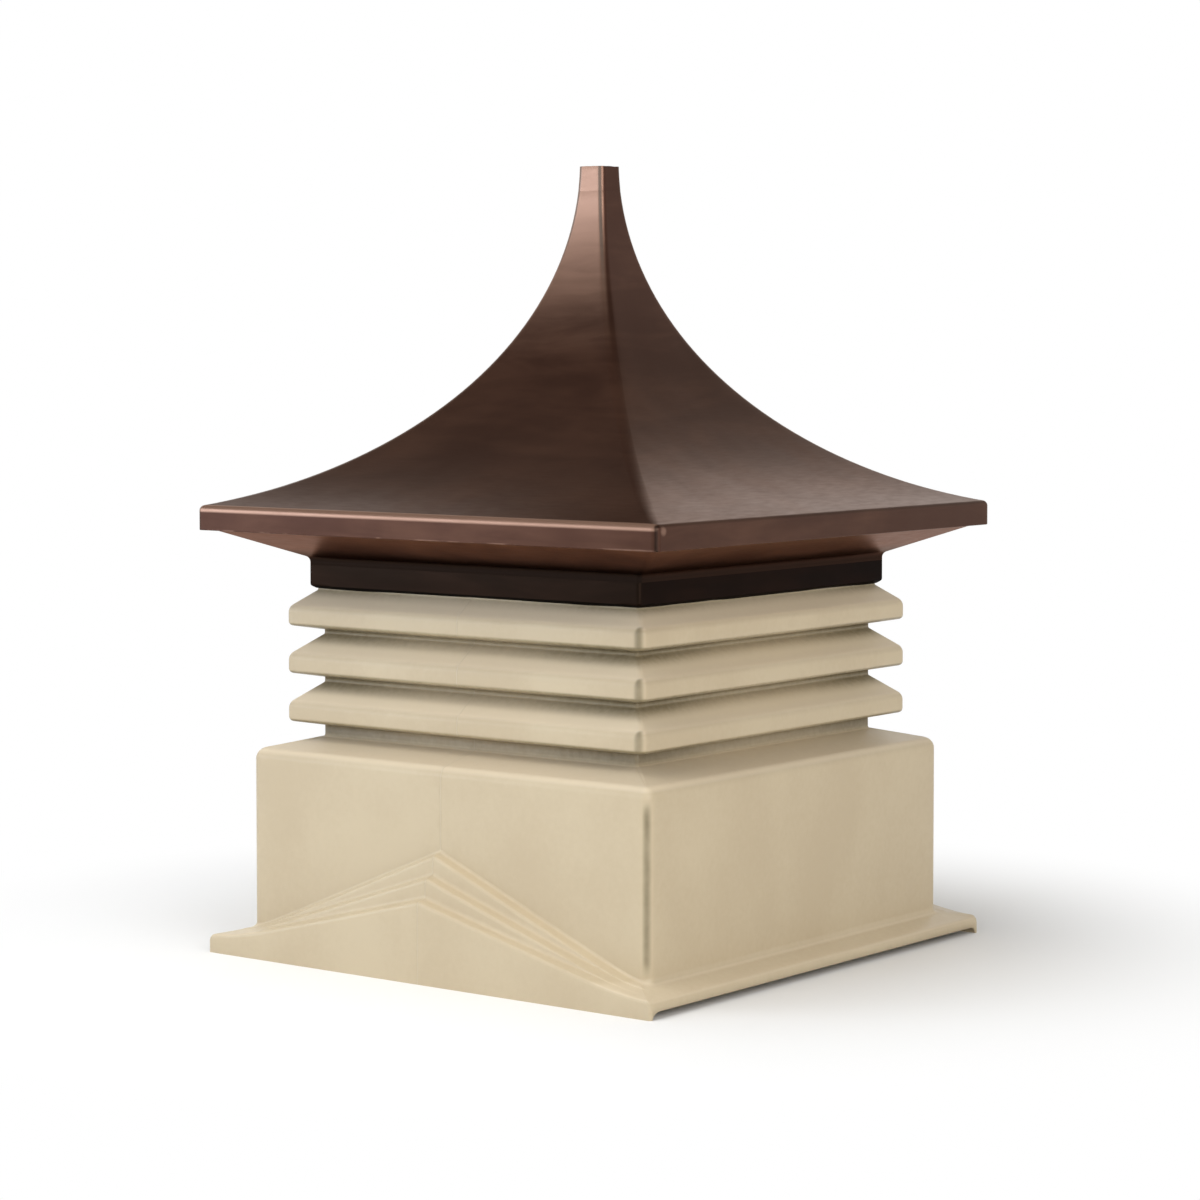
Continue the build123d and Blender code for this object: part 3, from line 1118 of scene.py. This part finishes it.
@dataclass
class SkirtRing:
    """Stepped gable skirts, eave flanges and the feet where they run together, in one skin."""

    plastic: bpy.types.Material
    wall_half: float = 305.0
    wall_corner: float = 12.5
    flange_half: float = 340.0
    skirt_half: float = 347.0
    tip_corner: float = 4.0
    flare_start: float = 250.0
    pitches: tuple[float, ...] = (5 / 12, 4 / 12, 3 / 12)
    ledge_end: float = 23.5
    foot_top: float = 29.0
    skirt_edge: float = 20.5
    flange_edge: float = 19.5
    merge: float = 6.0
    lip: float = 8.5
    sweep: float = 13.0
    sweep_start: float = 343.0
    ease: float = 4.5
    # The skin starts this far inside the wall, so that the two don't share a plane
    sunk: float = 0.4
    wall: float = 4.0

    def build(self) -> None:
        """Draws the section outwards from the wall, row by row, all the way round."""
        skin = SquareSkin(self.wall_half, 0.0, self.wall_corner, cuts=61)
        straight = self.wall_half - self.wall_corner
        spot = skin.mesh.verts.layers.float_vector.new("spot")
        for vert in skin.mesh.verts:
            for axis in (0, 1):
                if abs(vert.co[axis]) <= straight:
                    vert.co[axis] = straight * math.sin(vert.co[axis] / straight * math.pi / 2)
            vert[spot] = vert.co
        rows = len(self.section(Vector((0, -self.wall_half))))
        verts = set(skin.mesh.verts)
        for row in range(rows):
            if row:
                verts = skin.extrude()
            for vert in verts:
                at = vert[spot].copy()
                out, height = self.section(at)[row]
                vert.co = at.lerp(self.outer(at), out)
                vert.co.z = height
        mesh = skin.finished()
        nodes = []
        for rise in (5, 4, 3):
            nodes += [f"pitch_step_{rise}_in_12_{side}" for side in ("front", "back")]
        nodes += ["eave_flange_left", "eave_flange_right"]
        Piece(
            "skirt_and_flanges", mesh, self.plastic, Slot.BODY, nodes, self.wall, sharp_degrees=50
        ).place()

    def stretch(self, place: float, outer_half: float) -> float:
        """Where one coordinate of a spot on the wall comes out at the outer edge.

        Args:
            place: The coordinate on the wall.
            outer_half: Half of the outer edge's width.

        Returns:
            The coordinate at the outer edge.
        """
        straight = self.wall_half - self.wall_corner
        away = abs(place) - straight
        if away > 0:
            reached = outer_half - self.tip_corner + away * self.tip_corner / self.wall_corner
        else:
            flared = max(0.0, (abs(place) - self.flare_start) / (straight - self.flare_start))
            reached = abs(place) + flared**2 * (outer_half - self.tip_corner - straight)
        return math.copysign(reached, place)

    def outer(self, spot: Vector) -> Vector:
        """The point of the outer edge that a spot on the wall runs out to."""
        across = self.stretch(spot.x, self.flange_half)
        return Vector((across, self.stretch(spot.y, self.skirt_half), 0))

    def gable_share(self, spot: Vector) -> float:
        """One on the gable sides, nought on the eave sides and between them at a corner.

        Args:
            spot: The spot on the wall.

        Returns:
            The share.
        """
        straight = self.wall_half - self.wall_corner
        across, along = abs(spot.x) - straight, abs(spot.y) - straight
        if across <= 0:
            return 1.0
        return math.atan2(max(along, 0.0), across) / (math.pi / 2)

    def section(self, spot: Vector) -> list[tuple[float, float]]:
        """The section at a spot on the wall.

        Args:
            spot: The spot.

        Returns:
            How far out each point lies, from nought to one, and its height.
        """
        gable = self.gable_share(spot)
        edge = self.flange_edge + (self.skirt_edge - self.flange_edge) * gable
        count = len(self.pitches)
        drop = (self.foot_top - edge) / count
        width = self.skirt_half - self.wall_half
        corners = []
        above = math.inf
        for number, pitch in enumerate(self.pitches):
            rest = self.foot_top - drop * number
            across = abs(spot.x + (self.outer(spot).x - spot.x) * number / count)
            line = self.ledge_end + pitch * (self.wall_half - across)
            peak = (line + rest + math.hypot(line - rest, self.merge)) / 2
            top = min(rest + gable * (peak - rest), above)
            above = top - drop
            corners.append((width * number / count, top))
            corners.append((width * (number + 1) / count, above))
        reach = self.ease * (2 - gable)
        start = (-self.sunk, corners[0][1] + 2 * reach)
        points = softened([start, *corners, (width, self.hem(spot))], reach, 4)
        return [(out / width, height) for out, height in points]

    def hem(self, spot: Vector) -> float:
        """Height of the bottom edge: on the floor under a skirt, swept up to a flange's lip.

        Args:
            spot: The spot on the wall.

        Returns:
            The height.
        """
        if self.gable_share(spot) > 0:
            return 0.0
        away = self.sweep_start - abs(self.outer(spot).y)
        if away <= 0:
            return 0.0
        return self.lip * math.sqrt(1 - max(0.0, 1 - away / self.sweep) ** 2)


@dataclass(frozen=True)
class Softbox:
    """A square soft lamp: metres, watts, and whether the metal shows the lamp itself."""

    name: str
    place: tuple[float, float, float]
    size: float
    power: float
    colour: str = WHITE
    mirrored: bool = True
    aim: tuple[float, float, float] = (0.0, 0.0, 0.4)

    def build(self) -> None:
        """Adds the lamp, turned towards the cupola."""
        data = bpy.data.lights.new(self.name, "AREA")
        data.shape = "SQUARE"
        data.size = self.size
        data.energy = self.power
        data.color = linear(self.colour)[:3]
        lamp = bpy.data.objects.new(self.name, data)
        lamp.location = self.place
        lamp.visible_glossy = self.mirrored
        lamp.visible_camera = False
        towards = Vector(self.aim) - Vector(self.place)
        lamp.rotation_euler = towards.to_track_quat("-Z", "Y").to_euler()
        bpy.context.scene.collection.objects.link(lamp)


@dataclass
class Studio:
    """Pale floor, plain soft light and the camera at the photograph's angle."""

    azimuth: float = 37.726
    distance: float = 4087.0
    aside: float = 0.75
    height: float = 749.9
    pitch: float = 2.816
    lens: float = 98.731
    sensor: float = 36.0
    shift: float = -0.08
    floor_colour: str = "#F2F1EE"
    floor_roughness: float = 0.85
    floor_radius: float = 40.0
    floor_fade: Span = (420.0, 1000.0)
    # How far up the metal sees grey instead of white, as the sine of the height
    overhead: Span = (0.34, 0.62)
    overhead_grey: str = "#98938C"
    light_all_round: float = 0.32
    lamps: tuple[Softbox, ...] = (
        Softbox("key_softbox", (-2.1, -2.0, 0.95), 1.6, 17, COOL),
        Softbox("front_softbox", (0.0, -3.6, 1.55), 1.8, 35, COOL, mirrored=False),
        Softbox("fill_softbox", (3.4, -1.4, 1.6), 2.6, 70),
        Softbox("back_softbox", (-1.3, 3.1, 2.6), 1.2, 4.6),
        Softbox("overhead_softbox", (-0.5, -1.1, 3.2), 3.0, 78, mirrored=False),
    )

    def build(self) -> None:
        """Builds the floor, the lamps, the world and the camera."""
        self.build_floor()
        for lamp in self.lamps:
            lamp.build()
        self.build_world()
        self.build_camera()

    def build_floor(self) -> None:
        """A wide pale floor that runs out into the white background."""
        mesh = bmesh.new()
        bmesh.ops.create_circle(mesh, cap_ends=True, segments=96, radius=self.floor_radius)
        data = bpy.data.meshes.new("studio_floor")
        mesh.to_mesh(data)
        mesh.free()
        floor = bpy.data.objects.new("studio_floor", data)
        bpy.context.scene.collection.objects.link(floor)
        material, patch, shader = new_material("painted_studio_floor")
        shader.inputs["Base Color"].default_value = linear(self.floor_colour)
        shader.inputs["Roughness"].default_value = self.floor_roughness
        tree = patch.tree
        away = patch.away_from((0.0, 0.0, 0.0))
        far = away.step(self.floor_fade) * self.background_ray(tree)
        plain = {"Color": linear(WHITE), "Strength": 1.0}
        white = add_node(tree, "ShaderNodeEmission", plain)
        blend = add_node(
            tree,
            "ShaderNodeMixShader",
            links={0: far.socket, 1: shader.outputs[0], 2: white.outputs[0]},
        )
        output = next(node for node in tree.nodes if node.type == "OUTPUT_MATERIAL")
        tree.links.new(blend.outputs[0], output.inputs[0])
        data.materials.append(material)

    def background_ray(self, tree: bpy.types.NodeTree) -> Field:
        """One for the rays that show the background: seen, mirrored or through glass.

        Args:
            tree: The node tree of the floor or the world.

        Returns:
            One or nought.
        """
        rays = add_node(tree, "ShaderNodeLightPath").outputs
        seen, mirrored, through = (
            Field(tree, rays[f"Is {kind} Ray"]) for kind in ("Camera", "Glossy", "Transmission")
        )
        return seen.larger(mirrored).larger(through)

    def build_world(self) -> None:
        """A white background, and a plain grey light from all round."""
        world = bpy.data.worlds.new("studio")
        bpy.context.scene.world = world
        world.use_nodes = True
        tree = world.node_tree
        tree.nodes.clear()
        place = add_node(tree, "ShaderNodeTexCoord").outputs["Generated"]
        up = add_field(tree, "ShaderNodeSeparateXYZ", {}, {0: place}, "Z")
        show = Patch(tree, place).mix(up.step(self.overhead), WHITE, self.overhead_grey)
        backdrop = add_node(tree, "ShaderNodeBackground", {"Strength": 1.0}, {"Color": show.socket})
        even = {"Color": linear(WHITE), "Strength": self.light_all_round}
        light = add_node(tree, "ShaderNodeBackground", even)
        seen = self.background_ray(tree).socket
        shown = {0: seen, 1: light.outputs[0], 2: backdrop.outputs[0]}
        blend = add_node(tree, "ShaderNodeMixShader", links=shown)
        add_node(tree, "ShaderNodeOutputWorld", links={"Surface": blend.outputs[0]})

    def build_camera(self) -> None:
        """Sets the camera at the photograph's viewing angle."""
        data = bpy.data.cameras.new("photograph_view")
        data.lens = self.lens
        data.sensor_width = self.sensor
        data.shift_y = self.shift
        camera = bpy.data.objects.new("photograph_view", data)
        turn = math.radians(self.azimuth)
        across = Vector((math.cos(turn), math.sin(turn), 0))
        back = Vector((math.sin(turn), -math.cos(turn), 0))
        place = back * self.distance + across * self.aside + Vector((0, 0, self.height))
        camera.location = place / METRE
        camera.rotation_euler = (math.radians(90 - self.pitch), 0, turn)
        bpy.context.scene.collection.objects.link(camera)
        bpy.context.scene.camera = camera
        bpy.context.scene.view_settings.view_transform = "Standard"


def main() -> None:
    """Builds the cupola's looks and the studio."""
    logging.basicConfig(level=logging.INFO, format="%(name)s %(message)s")
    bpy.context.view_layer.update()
    copper = PatinatedCopper().material()
    # The soffit's copy: lighter than the roof's copper as painted light on an underside, darkening
    # to painted shade by the collar
    soffit_copper = PatinatedCopper(
        name="streaked_copper_soffit_lit_and_shaded",
        dark="#65453A",
        brown="#7F5949",
        edge="#D8BCAE",
        highlight_and_wear=0.0,
        shaded_to_collar=1.0,
        wipe_mm=14.0,
    ).material()
    # The collar's copy: near black as painted shade under the roof
    shaded_collar_copper = PatinatedCopper(
        name="copper_collar_painted_shade",
        dark="#1C140F",
        brown="#251A14",
        edge="#8C7A6E",
        highlight_and_wear=0.0,
    ).material()
    plastic = MouldedPolyethylene().material()
    CopperRoof(copper).build()
    CopperUnderside(soffit_copper, shaded_collar_copper).build()
    LouvredBody(plastic).build()
    BaseBox(plastic).build()
    SkirtRing(plastic).build()
    Studio().build()
    bpy.context.view_layer.update()


if __name__ == "__main__":
    main()
